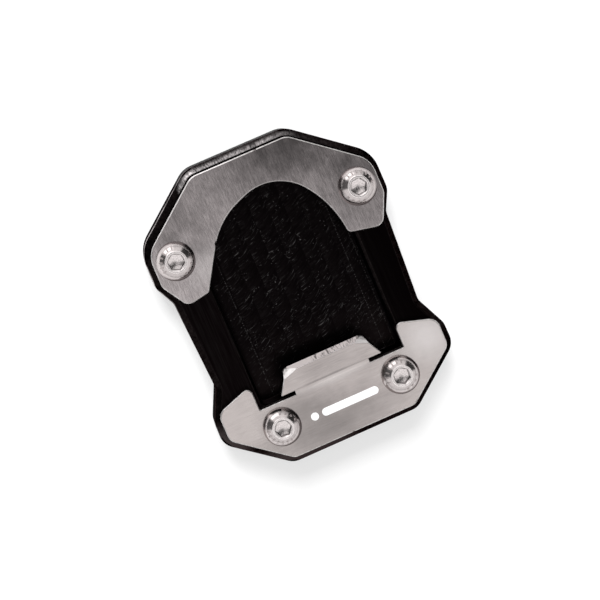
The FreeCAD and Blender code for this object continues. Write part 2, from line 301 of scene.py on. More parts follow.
def buildCutterMarks():
    # Arcs left by a milling cutter that goes up and down in passes along Y
    group, given, result = newGroup(
        "cutterMarks",
        {"Vector": "Vector", "Cutter Radius": "Float", "Pass Width": "Float", "Start": "Float",
         "Lead": "Float"},
        {"Arcs": "Float", "Glints": "Float", "Across": "Float"})
    x, y, _ = axes(group, given["Vector"])
    passes = mathNode(group, "DIVIDE", mathNode(group, "ADD", x, given["Start"]), given["Pass Width"])
    across = mathNode(group, "FRACT", passes)
    side = mathNode(group, "MULTIPLY_ADD", across, given["Pass Width"], given["Lead"])
    radius = given["Cutter Radius"]
    ahead = mathNode(group, "SUBTRACT", product(group, radius, radius), product(group, side, side))
    reach = mathNode(group, "SQRT", largest(group, ahead, cutterLook["leastReach"]))
    travel = mathNode(group, "ADD", y, reach)
    track = vectorNode(group, "MULTIPLY", joined(group, travel, side, mathNode(group, "FLOOR", passes)),
                       cutterLook["stretch"])
    glints = noiseNode(group, vectorNode(group, "ADD", track, cutterLook["glintShift"]),
                       *cutterLook["glints"])
    patches = noiseNode(group, vectorNode(group, "ADD", given["Vector"], cutterLook["patchShift"]),
                        *cutterLook["patches"])
    specks = noiseNode(group, given["Vector"], *cutterLook["specks"])
    # painted glints: sparkles of light and specks on the marks
    bright = largest(group, mapRange(group, glints, *cutterLook["glintRange"]),
                     mapRange(group, specks, *cutterLook["speckRange"]))
    fill(group, result["Arcs"], noiseNode(group, track, *cutterLook["arcs"]))
    fill(group, result["Glints"], product(group, bright, mapRange(group, patches, *cutterLook["patchRange"])))
    fill(group, result["Across"], across)
    return group


def buildPrintedBar():
    # A printed dot or bar: 1 inside, 0 outside
    group, given, result = newGroup(
        "printedBar", {"Vector": "Vector", "Centre": "Vector", "Half Length": "Float", "Radius": "Float"},
        {"Mask": "Float"})
    x, y, z = axes(group, vectorNode(group, "SUBTRACT", given["Vector"], given["Centre"]))
    along = mathNode(group, "SUBTRACT", mathNode(group, "ABSOLUTE", x), given["Half Length"])
    beyond = largest(group, along, 0.0)
    squares = mathNode(group, "ADD", product(group, beyond, beyond), product(group, y, y))
    inside = mathNode(group, "SUBTRACT", given["Radius"], mathNode(group, "SQRT", squares))
    onTop = mathNode(group, "GREATER_THAN", z, barLook["lowest"])
    fill(group, result["Mask"], product(group, mapRange(group, inside, *barLook["edge"]), onTop))
    return group


def buildStainAndShadePatch():
    # A soft patch with a ragged border, used for darker and lighter patches and for painted shade and sheen: 1
    # in its middle, 0 outside its reach
    group, given, result = newGroup(
        "stainAndShadePatch", {"Vector": "Vector", "Centre": "Vector", "Reach": "Vector", "Ragged": "Float"},
        {"Mask": "Float"})
    away = vectorNode(group, "DIVIDE", vectorNode(group, "SUBTRACT", given["Vector"], given["Centre"]),
                      given["Reach"])
    ragged = noiseNode(group, given["Vector"], *patchLook["ragged"])
    shift = product(group, mathNode(group, "SUBTRACT", ragged, 0.5), given["Ragged"])
    border = mathNode(group, "ADD", shift, vectorNode(group, "LENGTH", away))
    fill(group, result["Mask"], mapRange(group, border, *patchLook["border"]))
    return group


brushedGrain = buildBrushedGrain()
stainAndShadePatch = buildStainAndShadePatch()
cutterMarks = buildCutterMarks()
printedBar = buildPrintedBar()


def newMaterial(name, metallic=1.0):
    # The last value is the place on the object in millimetres
    material = bpy.data.materials.new(name)
    material.use_nodes = True
    tree = material.node_tree
    shader = tree.nodes["Principled BSDF"].inputs
    shader["Metallic"].default_value = metallic
    place = scaled(tree, tree.nodes.new("ShaderNodeTexCoord").outputs["Object"], 1 / mm)
    return material, tree, shader, place


def addBump(tree, shader, height, strength, depth):
    node = tree.nodes.new("ShaderNodeBump")
    node.inputs["Strength"].default_value = strength
    node.inputs["Distance"].default_value = depth * mm
    fill(tree, node.inputs["Height"], height)
    fill(tree, shader["Normal"], node.outputs[0])


print("finishes ready")


# Helpers for the pieces

meshing = {
    "weld": 0.002, "flatWithin": 0.4,
    "bevelFrom": 28.0, "smoothWithin": 35.0, "areaWeight": 80,
}


def makeActive(piece):
    bpy.ops.object.select_all(action="DESELECT")
    piece.select_set(True)
    bpy.context.view_layer.objects.active = piece


def copyOfNode(node, name):
    # The shape as built, welded and with its flat faces in one, ready for bevels
    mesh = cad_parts[node].data.copy()
    mesh.materials.clear()
    piece = bpy.data.objects.new(name, mesh)
    mesh.name = name
    bpy.context.scene.collection.objects.link(piece)
    makeActive(piece)
    bpy.ops.object.mode_set(mode="EDIT")
    bpy.ops.mesh.select_all(action="SELECT")
    bpy.ops.mesh.remove_doubles(threshold=meshing["weld"] * mm)
    bpy.ops.mesh.dissolve_limited(angle_limit=math.radians(meshing["flatWithin"]))
    bpy.ops.object.mode_set(mode="OBJECT")
    return piece


def bevelEdges(piece, width, segments=2, angle=meshing["bevelFrom"]):
    makeActive(piece)
    bevel = piece.modifiers.new("edges", "BEVEL")
    bevel.width = width * mm
    bevel.segments = segments
    bevel.limit_method = "ANGLE"
    bevel.angle_limit = math.radians(angle)
    bevel.use_clamp_overlap = False
    bpy.ops.object.modifier_apply(modifier=bevel.name)


def cutWith(piece, cutter):
    makeActive(piece)
    cut = piece.modifiers.new("cut", "BOOLEAN")
    cut.operation = "DIFFERENCE"
    cut.solver = "EXACT"
    cut.object = cutter
    bpy.ops.object.modifier_apply(modifier=cut.name)
    bpy.data.objects.remove(cutter)


def addCutterBlock(size, location, turn):
    bpy.ops.object.select_all(action="DESELECT")
    bpy.ops.mesh.primitive_cube_add(size=size * mm, location=location, rotation=turn)
    block = bpy.context.object
    bpy.ops.object.transform_apply(location=True, rotation=True, scale=True)
    return block


def smoothPiece(piece, angle=meshing["smoothWithin"]):
    makeActive(piece)
    bpy.ops.object.shade_smooth_by_angle(angle=math.radians(angle))
    weighted = piece.modifiers.new("faceNormals", "WEIGHTED_NORMAL")
    weighted.keep_sharp = True
    weighted.weight = meshing["areaWeight"]
    bpy.ops.object.modifier_apply(modifier=weighted.name)


def paintFaces(piece, materials, chooser):
    # chooser gives the number of the material from a face's middle in millimetres and its normal
    for material in materials:
        piece.data.materials.append(material)
    for face in piece.data.polygons:
        face.material_index = chooser(face.center / mm, face.normal)


def finishPiece(piece, node):
    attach(piece, "root")
    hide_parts(node)


# The base plate. Left is -X and the front is +Y

basePlate = {
    "edge": 0.14,
    "roughness": 0.30, "edgeTint": 0.05,
    # black skin: fine streaks along the rim beside the pocket, and left side walls that lose their reflection
    # and render black, as painted shade
    "black": (0.0036, 0.0021, 0.0024), "grey": (0.014, 0.012, 0.012), "deepest": (0.0, 0.0, 0.0),
    "rimStretch": (5.0, 0.08, 5.0), "rimStreaks": (0.45, 0.72), "rimFade": (21.5, 28.0, 1.0, 0.12),
    # painted shade: the skin is made darker towards the right
    "shadedFarSide": (-12.0, 22.0, 0.0, 0.38),  # the skin is deeper black towards the right
    "shadedWall": (-14.5, -18.5, 0.0, 0.94), "shadedWallBelow": 10.35, "rimBump": (0.15, 0.01),
    # pocket floor, with painted shadow, a painted glow near the tab and painted glints
    "floorDark": (0.0030, 0.0020, 0.0023), "floorLight": (0.0115, 0.0093, 0.0096),
    "cutterRadius": 8.0, "passWidth": 4.5, "firstPass": 20.1, "cutterLead": 1.2,
    "passTone": (0.0, 1.0, 1.0, 0.25), "arcTone": (0.38, 0.68), "floorBump": (0.35, 0.02),
    # painted shadow on the floor under the horseshoe and along the left wall
    "unshadowedMiddle": (1.5, 10.0), "unshadowedReach": (17.0, 21.5),
    "shadowEdge": (1.0, 1.12, 1.0, 0.15), "wallShadowBand": (-19.6, -18.7, 0.15, 1.0),
    # painted glow: a lighter zone on the floor near the tab
    "tabGlow": (0.016, 0.0115, 0.0115), "tabReach": (-8.0, -24.0, 0.0, 0.45),
    # painted glints on the floor
    "glint": (0.22, 0.21, 0.21),
    "passEdges": (-16.3, 17.4, 20.3), "passEdgeWidth": 0.16, "passEdgeGlint": 0.5,
    "dashNoise": (2.6, 2.0, 0.6), "dashRow": 3.0, "dashes": (0.48, 0.66),
    # wide chamfer
    "chamferDark": (0.0030, 0.0022, 0.0022), "chamferLight": (0.020, 0.016, 0.016), "chamferRoughness": 0.25,
    "rays": (95.0, 1.1, 0.0), "rayShade": (0.36, 0.64, 0.2, 1.0), "chamferBump": (0.25, 0.02),
    "patches": (14.0, 0.5, 4.0), "patchShade": (0.32, 0.58, 0.45, 1.0), "chamferNoise": (1.0, 2.0, 0.6),
    # painted highlight on the upper half of the front chamfer, brightest at the left corner
    "chamferHighlight": (0.50, 0.465, 0.465), "cornerHighlight": (0.95, 0.89, 0.89), "corner": (-10.0, -14.5),
    "chamferHighlightFront": (30.0, 36.0), "chamferHighlightLeft": (-18.6, -17.2),
    "chamferHighlightRight": (17.5, 9.0, 0.03, 1.0), "chamferHighlightUpper": (10.8, 11.6, 0.08, 1.0),
    # painted sheen along the rear, evened out
    "chamferRear": (0.090, 0.074, 0.074), "rearShade": 0.6, "rearSides": (-4.0, 4.0, 1.0, 0.3),
    "rearEnd": (-34.0, -40.0), "rearEarFrom": (-24.0, -28.0), "rearEarSide": (-26.0, -30.0),
    # painted highlight: a thin bright line along the lower edge of the chamfer at the front left
    "edgeHighlightBelow": (10.66, 10.56), "edgeHighlightLeft": (-21.0, -23.0), "edgeHighlightFront": (6.0, 16.0),
    "edgeHighlightPatches": (0.36, 0.56, 0.3, 0.8),
    # outer edge under the chamfer, with a painted highlight at the front left
    "edgeDark": (0.030, 0.010, 0.011), "edgeHighlightTone": (0.75, 0.69, 0.69),
    "edgeNoise": (0.35, 3.0, 0.6), "edgeShade": (0.38, 0.58, 0.35, 1.0),
    "outerHighlightLeft": (-12.0, -20.0, 0.04, 1.0), "outerHighlightFront": (2.0, 16.0, 0.05, 1.0),
    # where the faces of each region lie, and how far they look up
    "pocketFloor": 4.0, "pocketWithin": 0.05, "pocketUp": 0.9,
    "chamferAbove": 10.9, "chamferUp": (0.6, 0.99),
    "outerEdge": 10.4, "outerWithin": 0.2, "outerUp": (0.1, 0.66),
}


def anodised(name):
    material, tree, shader, place = newMaterial(name)
    shader["Roughness"].default_value = basePlate["roughness"]
    shader["Specular Tint"].default_value = (*(basePlate["edgeTint"],) * 3, 1)
    return material, tree, shader, place


def faded(tree, value, label):
    # A value through one of the ranges of the base plate
    return mapRange(tree, value, *basePlate[label])


def blackSkin():
    material, tree, shader, place = anodised("blackAnodised")
    x, _, z = axes(tree, place)
    grain = groupNode(tree, brushedGrain, Vector=place, Stretch=basePlate["rimStretch"])
    streak = mathNode(tree, "MULTIPLY", faded(tree, grain["Streaks"], "rimStreaks"), faded(tree, x, "rimFade"),
                      clamp=True)
    skin = mixColours(tree, streak, basePlate["black"], basePlate["grey"])
    # painted shade: darker towards the right
    fill(tree, shader["Base Color"], mixColours(tree, faded(tree, x, "shadedFarSide"), skin, basePlate["deepest"]))
    # painted shade: the left side walls lose their reflection and render black
    wall = product(tree, faded(tree, x, "shadedWall"), mathNode(tree, "LESS_THAN", z, basePlate["shadedWallBelow"]))
    fill(tree, shader["Metallic"], mathNode(tree, "SUBTRACT", 1.0, wall))
    shader["Specular IOR Level"].default_value = 0.0
    addBump(tree, shader, grain["Height"], *basePlate["rimBump"])
    return material


def paintedPocketShadow(tree, x, y):
    # Painted shadow: the floor darkens and its marks fade out along the left wall and close under the
    # horseshoe, shaped by an oval and a straight band
    (middleX, middleY), (reachX, reachY) = basePlate["unshadowedMiddle"], basePlate["unshadowedReach"]
    aside = mathNode(tree, "DIVIDE", mathNode(tree, "SUBTRACT", x, middleX), reachX)
    ahead = mathNode(tree, "DIVIDE", largest(tree, mathNode(tree, "SUBTRACT", y, middleY), 0.0), reachY)
    inFront = mathNode(tree, "GREATER_THAN", y, middleY)
    away = mathNode(tree, "SQRT", mathNode(tree, "ADD", product(tree, aside, aside, inFront),
                                           product(tree, ahead, ahead)))
    return mathNode(tree, "MINIMUM", faded(tree, away, "shadowEdge"), faded(tree, x, "wallShadowBand"))


def passLines(tree, x, y):
    # Painted glints: dashed bright lines where two passes of the cutter meet
    lines = []
    for edge in basePlate["passEdges"]:
        aside = mathNode(tree, "ABSOLUTE", mathNode(tree, "SUBTRACT", x, edge))
        aside = mathNode(tree, "DIVIDE", aside, basePlate["passEdgeWidth"])
        lines.append(mathNode(tree, "SUBTRACT", 1.0, aside, clamp=True))
    dashes = noiseNode(tree, joined(tree, 0.0, y, basePlate["dashRow"]), *basePlate["dashNoise"])
    return product(tree, largest(tree, *lines), faded(tree, dashes, "dashes"), basePlate["passEdgeGlint"])


def pocketSkin():
    material, tree, shader, place = anodised("pocketFloor")
    x, y, _ = axes(tree, place)
    marks = groupNode(tree, cutterMarks, Vector=place, Cutter_Radius=basePlate["cutterRadius"],
                      Pass_Width=basePlate["passWidth"], Start=basePlate["firstPass"],
                      Lead=basePlate["cutterLead"])
    # painted shadow under the horseshoe and along the left wall
    lit = paintedPocketShadow(tree, x, y)
    tone = product(tree, faded(tree, marks["Arcs"], "arcTone"), faded(tree, marks["Across"], "passTone"), lit)
    colour = mixColours(tree, tone, basePlate["floorDark"], basePlate["floorLight"])
    # painted glow near the tab
    colour = mixColours(tree, faded(tree, y, "tabReach"), colour, basePlate["tabGlow"])
    # painted glints on the marks and along the pass edges
    glints = mathNode(tree, "MAXIMUM", marks["Glints"], passLines(tree, x, y), clamp=True)
    fill(tree, shader["Base Color"], mixColours(tree, product(tree, glints, lit), colour, basePlate["glint"]))
    addBump(tree, shader, marks["Arcs"], *basePlate["floorBump"])
    return material


def chamferNoise(tree, turn, z, aroundScale, upScale, row):
    place = joined(tree, product(tree, turn, aroundScale), product(tree, z, upScale), row)
    return noiseNode(tree, place, *basePlate["chamferNoise"])


def chamferSkin():
    # Cutter lines square to the edge, laid out as rays from the middle. A painted highlight lies on the upper
    # half at the front, brightest at the left corner, a painted highlight runs along its lower edge there, and
    # the rear has an even painted sheen
    material, tree, shader, place = anodised("milledChamfer")
    shader["Roughness"].default_value = basePlate["chamferRoughness"]
    x, y, z = axes(tree, place)
    turn = mathNode(tree, "ARCTAN2", y, x)
    lines = chamferNoise(tree, turn, z, *basePlate["rays"])
    patches = chamferNoise(tree, turn, z, *basePlate["patches"])
    shade = product(tree, faded(tree, lines, "rayShade"), faded(tree, patches, "patchShade"))
    # painted highlight at the front, brightest at the left corner
    chamferHighlightMask = product(tree, faded(tree, y, "chamferHighlightFront"), faded(tree, x, "chamferHighlightLeft"), faded(tree, x, "chamferHighlightRight"),
                   faded(tree, z, "chamferHighlightUpper"))
    wearAndHighlight = mixColours(tree, faded(tree, x, "corner"), basePlate["chamferHighlight"], basePlate["cornerHighlight"])
    ear = product(tree, faded(tree, y, "rearEarFrom"), faded(tree, x, "rearEarSide"))
    # painted sheen along the rear, evened out
    rear = product(tree, faded(tree, x, "rearSides"), largest(tree, faded(tree, y, "rearEnd"), ear))
    light = mixColours(tree, chamferHighlightMask, basePlate["chamferLight"], wearAndHighlight)
    light = mixColours(tree, rear, light, basePlate["chamferRear"])
    evener = mathNode(tree, "SUBTRACT", basePlate["rearShade"], shade)
    shade = mathNode(tree, "MULTIPLY_ADD", rear, evener, shade)
    skin = mixColours(tree, shade, basePlate["chamferDark"], light)
    # painted highlight: a thin bright line along the lower edge at the front left
    edgeHighlight = product(tree, faded(tree, z, "edgeHighlightBelow"), faded(tree, x, "edgeHighlightLeft"),
                     faded(tree, y, "edgeHighlightFront"), faded(tree, patches, "edgeHighlightPatches"))
    fill(tree, shader["Base Color"], mixColours(tree, edgeHighlight, skin, basePlate["edgeHighlightTone"]))
    addBump(tree, shader, lines, *basePlate["chamferBump"])
    return material


def edgeHighlightSkin():
    # Painted highlight: bright at the front left
    material, tree, shader, place = anodised("highlitEdge")
    x, y, _ = axes(tree, place)
    wear = noiseNode(tree, place, *basePlate["edgeNoise"])
    edgeHighlight = product(tree, faded(tree, wear, "edgeShade"), faded(tree, x, "outerHighlightLeft"),
                     faded(tree, y, "outerHighlightFront"))
    fill(tree, shader["Base Color"], mixColours(tree, edgeHighlight, basePlate["edgeDark"], basePlate["edgeHighlightTone"]))
    return material


def baseRegion(middle, normal):
    # 1 is the pocket floor, 2 the wide chamfer, 3 the outer edge under it and 0 the rest
    onFloor = abs(middle.z - basePlate["pocketFloor"]) < basePlate["pocketWithin"]
    if onFloor and normal.z > basePlate["pocketUp"]:
        return 1
    lowest, highest = basePlate["chamferUp"]
    if middle.z > basePlate["chamferAbove"] and lowest < normal.z < highest:
        return 2
    lowest, highest = basePlate["outerUp"]
    if abs(middle.z - basePlate["outerEdge"]) < basePlate["outerWithin"] and lowest < normal.z < highest:
        return 3
    return 0


def makeBasePlate():
    piece = copyOfNode("base_plate", "milled_base")
    bevelEdges(piece, basePlate["edge"])
    smoothPiece(piece)
    paintFaces(piece, (blackSkin(), pocketSkin(), chamferSkin(), edgeHighlightSkin()), baseRegion)
    finishPiece(piece, "base_plate")


makeBasePlate()
print("base plate done")


# The clamp plates. Each patch darkens or lightens the steel, in places as painted shade and painted sheen, and
# is its middle, its reach, its strength and its shade

sheetTop = 15.0

horseshoe = {
    "edge": 0.08,
    "dark": (0.40, 0.36, 0.36), "light": (0.62, 0.56, 0.56),
    "roughness": (0.16, 0.22), "stretch": (9.0, 0.5, 9.0), "ragged": 1.2, "cloud": 0.15,
    "grain": (0.45, 0.55), "anisotropy": 0.6, "across": (1.0, 0.0, 0.0),
    # painted shade: the broad darker zone at the front right
    "stainsAndShading": (((12.0, 38.0, 15.0), (17.0, 10.0, 5.0), 0.60, 0.02),
               ((26.0, 27.5, 15.0), (6.0, 3.5, 5.0), 0.45, 0.02),
               ((27.0, 20.0, 15.0), (13.0, 16.0, 5.0), 0.27, 0.02),
               ((-23.0, 31.0, 15.0), (9.0, 7.0, 5.0), 0.30, 0.02),
               # painted sheen: a lighter patch on the left lobe
               ((-19.0, 17.0, 15.0), (7.0, 7.0, 5.0), 0.30, 0.95),
               ((-25.0, 27.6, 15.0), (4.0, 2.5, 5.0), 0.30, 0.02),
               ((-18.8, 22.3, 15.0), (3.2, 3.5, 5.0), 0.28, 0.02),
               ((32.0, 23.5, 15.0), (3.0, 4.0, 5.0), 0.30, 0.02)),
    "nicks": ((4.83, 40.75), (-14.3, 21.65)),
    "ground": (),
}

tabbed = {
    "edge": 0.08,
    "dark": (0.56, 0.505, 0.49), "light": (0.74, 0.67, 0.65),
    "roughness": (0.18, 0.24), "stretch": (0.22, 8.0, 8.0), "ragged": 0.3, "cloud": 0.3,
    "grain": (0.38, 0.62), "anisotropy": 0.6, "across": (0.0, 1.0, 0.0),
    # painted shade: darker across the middle of the plate and the tab
    "stainsAndShading": (((-6.0, -36.0, 15.0), (25.0, 9.0, 5.0), 0.46, 0.02),
               ((-12.0, -28.0, 15.0), (13.0, 5.0, 5.0), 0.32, 0.02),
               ((0.0, -20.0, 17.0), (20.0, 7.0, 6.0), 0.20, 0.02),
               # painted sheen on the right ear, then a painted highlight and painted shade along the bend of
               # the tab
               ((28.0, -24.0, 15.0), (9.0, 9.0, 5.0), 0.8, 0.97),
               ((1.0, -24.7, 15.0), (12.0, 1.3, 5.0), 0.35, 0.97),
               ((-0.5, -23.3, 15.0), (10.5, 0.4, 5.0), 0.35, 0.02)),
    "nicks": ((-0.37, -40.75), (18.85, -39.95)),
    # Where the corners of the tab are ground off: a place on each flat, and the way it faces
    "ground": (((-10.6, -18.4, 17.0), (-0.32, 0.62, 0.72)), ((10.8, -18.4, 17.0), (0.40, 0.60, 0.69))),
}

printedMark = {
    "white": (0.92, 0.92, 0.92),
    # A plain dot and bar: the centre, half the length and the radius of each
    "shapes": (((-8.6, -32.3, 15.0), 0.0, 1.1), ((1.9, -32.3, 15.0), 7.2, 1.1)),
}

sheetSteel = {
    "patchTint": (1.0, 0.94, 0.93), "roughFrom": (0.3, 0.7), "bump": (0.35, 0.012),
    "nickSize": 1.0, "nickHeight": 0.1, "nickTurn": (0.2, 0.3, math.radians(45)), "grinderSize": 6.0,
}

deburred = {
    "dull": (0.42, 0.40, 0.39), "bright": (0.72, 0.69, 0.68), "highlightAndGround": (1.0, 0.96, 0.95),
    "roughness": 0.38, "wearNoise": (1.6, 3.0, 0.6), "wear": (0.35, 0.65),
    # painted highlight on the edges at the front left; bright steel where the tab's corners are ground off
    "plateEdgeHighlightLeft": (4.0, -8.0, 0.0, 0.9), "plateEdgeHighlightFront": (24.0, 30.0),
    "groundAside": (8.2, 8.6, 0.0, 0.75), "groundAbove": (16.1, 16.4),
}

shearedEnd = {
    "dark": (0.16, 0.14, 0.138), "light": (0.74, 0.67, 0.66), "metallic": 0.4, "roughness": 0.5,
    "stretch": (2.6, 0.4, 0.4), "noise": (1.0, 2.0, 0.6), "clean": (-1.0, -5.0, 0.0, 0.8),
    "tone": (0.36, 0.54), "bump": (0.5, 0.03),
}

plateFaces = {  # how far a face looks up or forward, and how far above the sheet it lies
    "flatUp": 0.95, "under": -0.5, "tabUp": 0.9, "tabSide": 0.02, "edgeUp": 0.2, "slopeUp": 0.85,
    "forward": 0.85, "edgeAbove": -0.3, "slopeAbove": 0.3, "endAbove": 0.2, "endEdgeAbove": 0.4,
}


def brushedSteel(name, look, shapes=()):
    material, tree, shader, place = newMaterial(name)
    grain = groupNode(tree, brushedGrain, Vector=place, Stretch=look["stretch"])
    cloud = product(tree, grain["Cloud"], look["cloud"])
    tone = mathNode(tree, "MULTIPLY_ADD", grain["Streaks"], 1.0 - look["cloud"], cloud)
    colour = mixColours(tree, mapRange(tree, tone, *look["grain"]), look["dark"], look["light"])
    # patches of stain, painted shade and painted sheen
    for centre, reach, strength, shade in look["stainsAndShading"]:
        patch = groupNode(tree, stainAndShadePatch, Vector=place, Centre=centre, Reach=reach, Ragged=look["ragged"])
        colour = mixColours(tree, product(tree, patch["Mask"], strength), colour,
                            darker(sheetSteel["patchTint"], shade))
    ink = [groupNode(tree, printedBar, Vector=place, Centre=centre, Half_Length=half, Radius=radius)["Mask"]
           for centre, half, radius in shapes]
    if ink:
        printed = largest(tree, *ink)
        colour = mixColours(tree, printed, colour, printedMark["white"])
        fill(tree, shader["Metallic"], mathNode(tree, "SUBTRACT", 1.0, printed))
    fill(tree, shader["Base Color"], colour)
    rough = mapRange(tree, grain["Streaks"], *sheetSteel["roughFrom"], *look["roughness"])
    fill(tree, shader["Roughness"], rough)
    shader["Anisotropic"].default_value = look["anisotropy"]
    fill(tree, shader["Tangent"], joined(tree, *look["across"]))
    addBump(tree, shader, grain["Height"], *sheetSteel["bump"])
    return material


def deburredSteel():
    # The fine edges: a painted highlight at the front left, and bright where the corners of the tab are ground
    # off
    material, tree, shader, place = newMaterial("deburredEdge")
    x, y, z = axes(tree, place)
    # painted highlight at the front left
    wearAndHighlight = product(tree, mapRange(tree, x, *deburred["plateEdgeHighlightLeft"]),
                   mapRange(tree, y, *deburred["plateEdgeHighlightFront"]))
    ground = product(tree, mapRange(tree, mathNode(tree, "ABSOLUTE", x), *deburred["groundAside"]),
                     mapRange(tree, z, *deburred["groundAbove"]))
    wear = mapRange(tree, noiseNode(tree, place, *deburred["wearNoise"]), *deburred["wear"])
    steel = mixColours(tree, wear, deburred["dull"], deburred["bright"])
    colour = mixColours(tree, largest(tree, wearAndHighlight, ground), steel, deburred["highlightAndGround"])
    fill(tree, shader["Base Color"], colour)
    shader["Roughness"].default_value = deburred["roughness"]
    return material


def cutSteel():
    # The sheared end of the tab: upright lines, fewer towards the left
    material, tree, shader, place = newMaterial("cutEnd", shearedEnd["metallic"])
    lines = noiseNode(tree, vectorNode(tree, "MULTIPLY", place, shearedEnd["stretch"]), *shearedEnd["noise"])
    lines = largest(tree, lines, mapRange(tree, axes(tree, place)[0], *shearedEnd["clean"]))
    tone = mapRange(tree, lines, *shearedEnd["tone"])
    fill(tree, shader["Base Color"], mixColours(tree, tone, shearedEnd["dark"], shearedEnd["light"]))
    shader["Roughness"].default_value = shearedEnd["roughness"]
    addBump(tree, shader, lines, *shearedEnd["bump"])
    return material


def plateRegion(middle, normal):
    # 1 is a fine edge, 2 the sheared end of the tab and 0 the rest
    look = plateFaces
    above = middle.z - sheetTop
    onTab = abs(normal.x) < look["tabSide"] and normal.y < 0 and normal.z > look["tabUp"]
    if normal.z > look["flatUp"] or normal.z < look["under"] or onTab:
        return 0
    onSlope = above > look["slopeAbove"] and normal.z > look["slopeUp"]
    if above > look["edgeAbove"] and normal.z > look["edgeUp"] and not onSlope:
        return 2 if normal.y > look["forward"] and above > look["endEdgeAbove"] else 1
    return 2 if normal.y > look["forward"] and above > look["endAbove"] else 0


def makeNick(x, y):
    # A corner of a small upright block bites into the upper edge
    location = (x * mm, y * mm, (sheetTop + sheetSteel["nickHeight"]) * mm)
    return addCutterBlock(sheetSteel["nickSize"], location, sheetSteel["nickTurn"])


def makeGrinder(place, facing):
    # The lower face of a block lies on the flat
    facing = Vector(facing).normalized()
    size = sheetSteel["grinderSize"]
    location = (Vector(place) + size / 2 * facing) * mm
    return addCutterBlock(size, location, facing.to_track_quat("Z", "Y").to_euler())


def makeClampPlate(node, name, look, shapes=()):
    piece = copyOfNode(node, name)
    for place, facing in look["ground"]:
        cutWith(piece, makeGrinder(place, facing))
    bevelEdges(piece, look["edge"])
    for x, y in look["nicks"]:
        cutWith(piece, makeNick(x, y))
    smoothPiece(piece)
    paintFaces(piece, (brushedSteel(name, look, shapes), deburredEdge, cutEnd), plateRegion)
    finishPiece(piece, node)


deburredEdge = deburredSteel()
cutEnd = cutSteel()
makeClampPlate("front_clamp_plate", "horseshoe_plate", horseshoe)
makeClampPlate("rear_clamp_plate", "tabbed_plate", tabbed, printedMark["shapes"])
print("clamp plates done")


# The screws

screw = {
    "sides": 96,
    "rings": ((2.2, -10.0), (3.0, -9.2), (3.0, 0.0), (5.15, 0.0), (5.25, 0.1), (5.25, 0.9)),  # radius, height
    "domeTop": (3.05, 3.18), "collarTop": (2.92, 3.3), "domeSwell": 0.28, "domeSteps": 10,
    "socketWidth": 4.0, "socketDepth": 2.2, "socketTurn": math.radians(30), "aboveHead": 1.0,
    "tipSides": 48, "tipAngle": 128.0, "tipShare": 0.98, "tipOverlap": 0.01, "mouth": 2.5, "mouthRaise": 0.1,
    "edge": 0.09, "edgeFrom": 32.0, "smoothWithin": 40.0,
    "markRadius": 4.05, "markRise": 0.16, "markEdge": 0.05, "barSize": (0.42, 1.1), "dotSize": (0.6, 0.6),
    "bars": 7, "barStep": 19.0, "dots": 4, "dotStep": 22.0,
    "collarWithin": 0.01, "collarDepth": 0.4, "collarUp": 0.6,
    # polished head, with painted shade towards the rim, strongest on one side
    "steel": (0.80, 0.73, 0.72), "wornShare": 0.82, "roughness": (0.16, 0.22),
    "wearNoise": (1.1, 4.0, 0.65), "wear": (0.35, 0.65), "wearRoughness": (0.3, 0.7),
    "footSteel": (0.10, 0.08, 0.08), "foot": (0.52, 0.80, 0.95, 0.0),
    "shadedSide": (0.75, -0.66), "shadedSideFrom": (-0.5, 0.5, 0.35, 1.0),
    "polishNoise": (5.0, 3.0, 0.6), "polishBump": (0.08, 0.01),
    # broached walls in painted shade, and a drilled floor
    "socketSteel": (0.90, 0.83, 0.82), "socketWorn": 0.72, "socketRoughness": 0.2,
    "wallShade": (0.14, 0.12, 0.12), "upright": (0.25, 0.66, 1.0, 0.0),
    "chatterNoise": (3.0, 3.0, 0.65), "chatter": (0.35, 0.62), "chatterBump": (0.4, 0.04),
    # what stands proud: the rounded ring around the socket, lighter than the head as a painted highlight, and
    # the marks
    "raisedNoise": (1.6, 3.0, 0.6), "raisedWear": (0.3, 0.6), "raisedWorn": 0.85,
    "collar": {"steel": (0.92, 0.86, 0.85), "roughness": 0.4, "metallic": 0.7},
    "mark": {"steel": (0.62, 0.56, 0.55), "roughness": 0.5, "metallic": 1.0},
}

screwPlaces = {  # node: place of its axis, turn of its socket, turn of its marks
    "front_left_screw": ((-26.3, 21.55), 36.7, 142.0),
    "front_right_screw": ((26.3, 20.65), 6.7, 57.0),
    "rear_left_screw": ((-17.85, -31.2), 54.7, 227.0),
    "rear_right_screw": ((17.25, -31.2), 28.7, 127.0),
}


def ownFacing(tree):
    return axes(tree, tree.nodes.new("ShaderNodeTexCoord").outputs["Normal"])


def polishedSteel():
    material, tree, shader, place = newMaterial("screwSteel")
    wear = noiseNode(tree, place, *screw["wearNoise"])
    steel = mixColours(tree, mapRange(tree, wear, *screw["wear"]), darker(screw["steel"], screw["wornShare"]),
                       screw["steel"])
    x, y, z = ownFacing(tree)
    sideX, sideY = screw["shadedSide"]
    side = mathNode(tree, "ADD", product(tree, x, sideX), product(tree, y, sideY))
    # painted shade along the rim of the head, strongest on one side
    foot = product(tree, mapRange(tree, z, *screw["foot"]), mapRange(tree, side, *screw["shadedSideFrom"]))
    fill(tree, shader["Base Color"], mixColours(tree, foot, steel, screw["footSteel"]))
    fill(tree, shader["Roughness"], mapRange(tree, wear, *screw["wearRoughness"], *screw["roughness"]))
    addBump(tree, shader, noiseNode(tree, place, *screw["polishNoise"]), *screw["polishBump"])
    return material


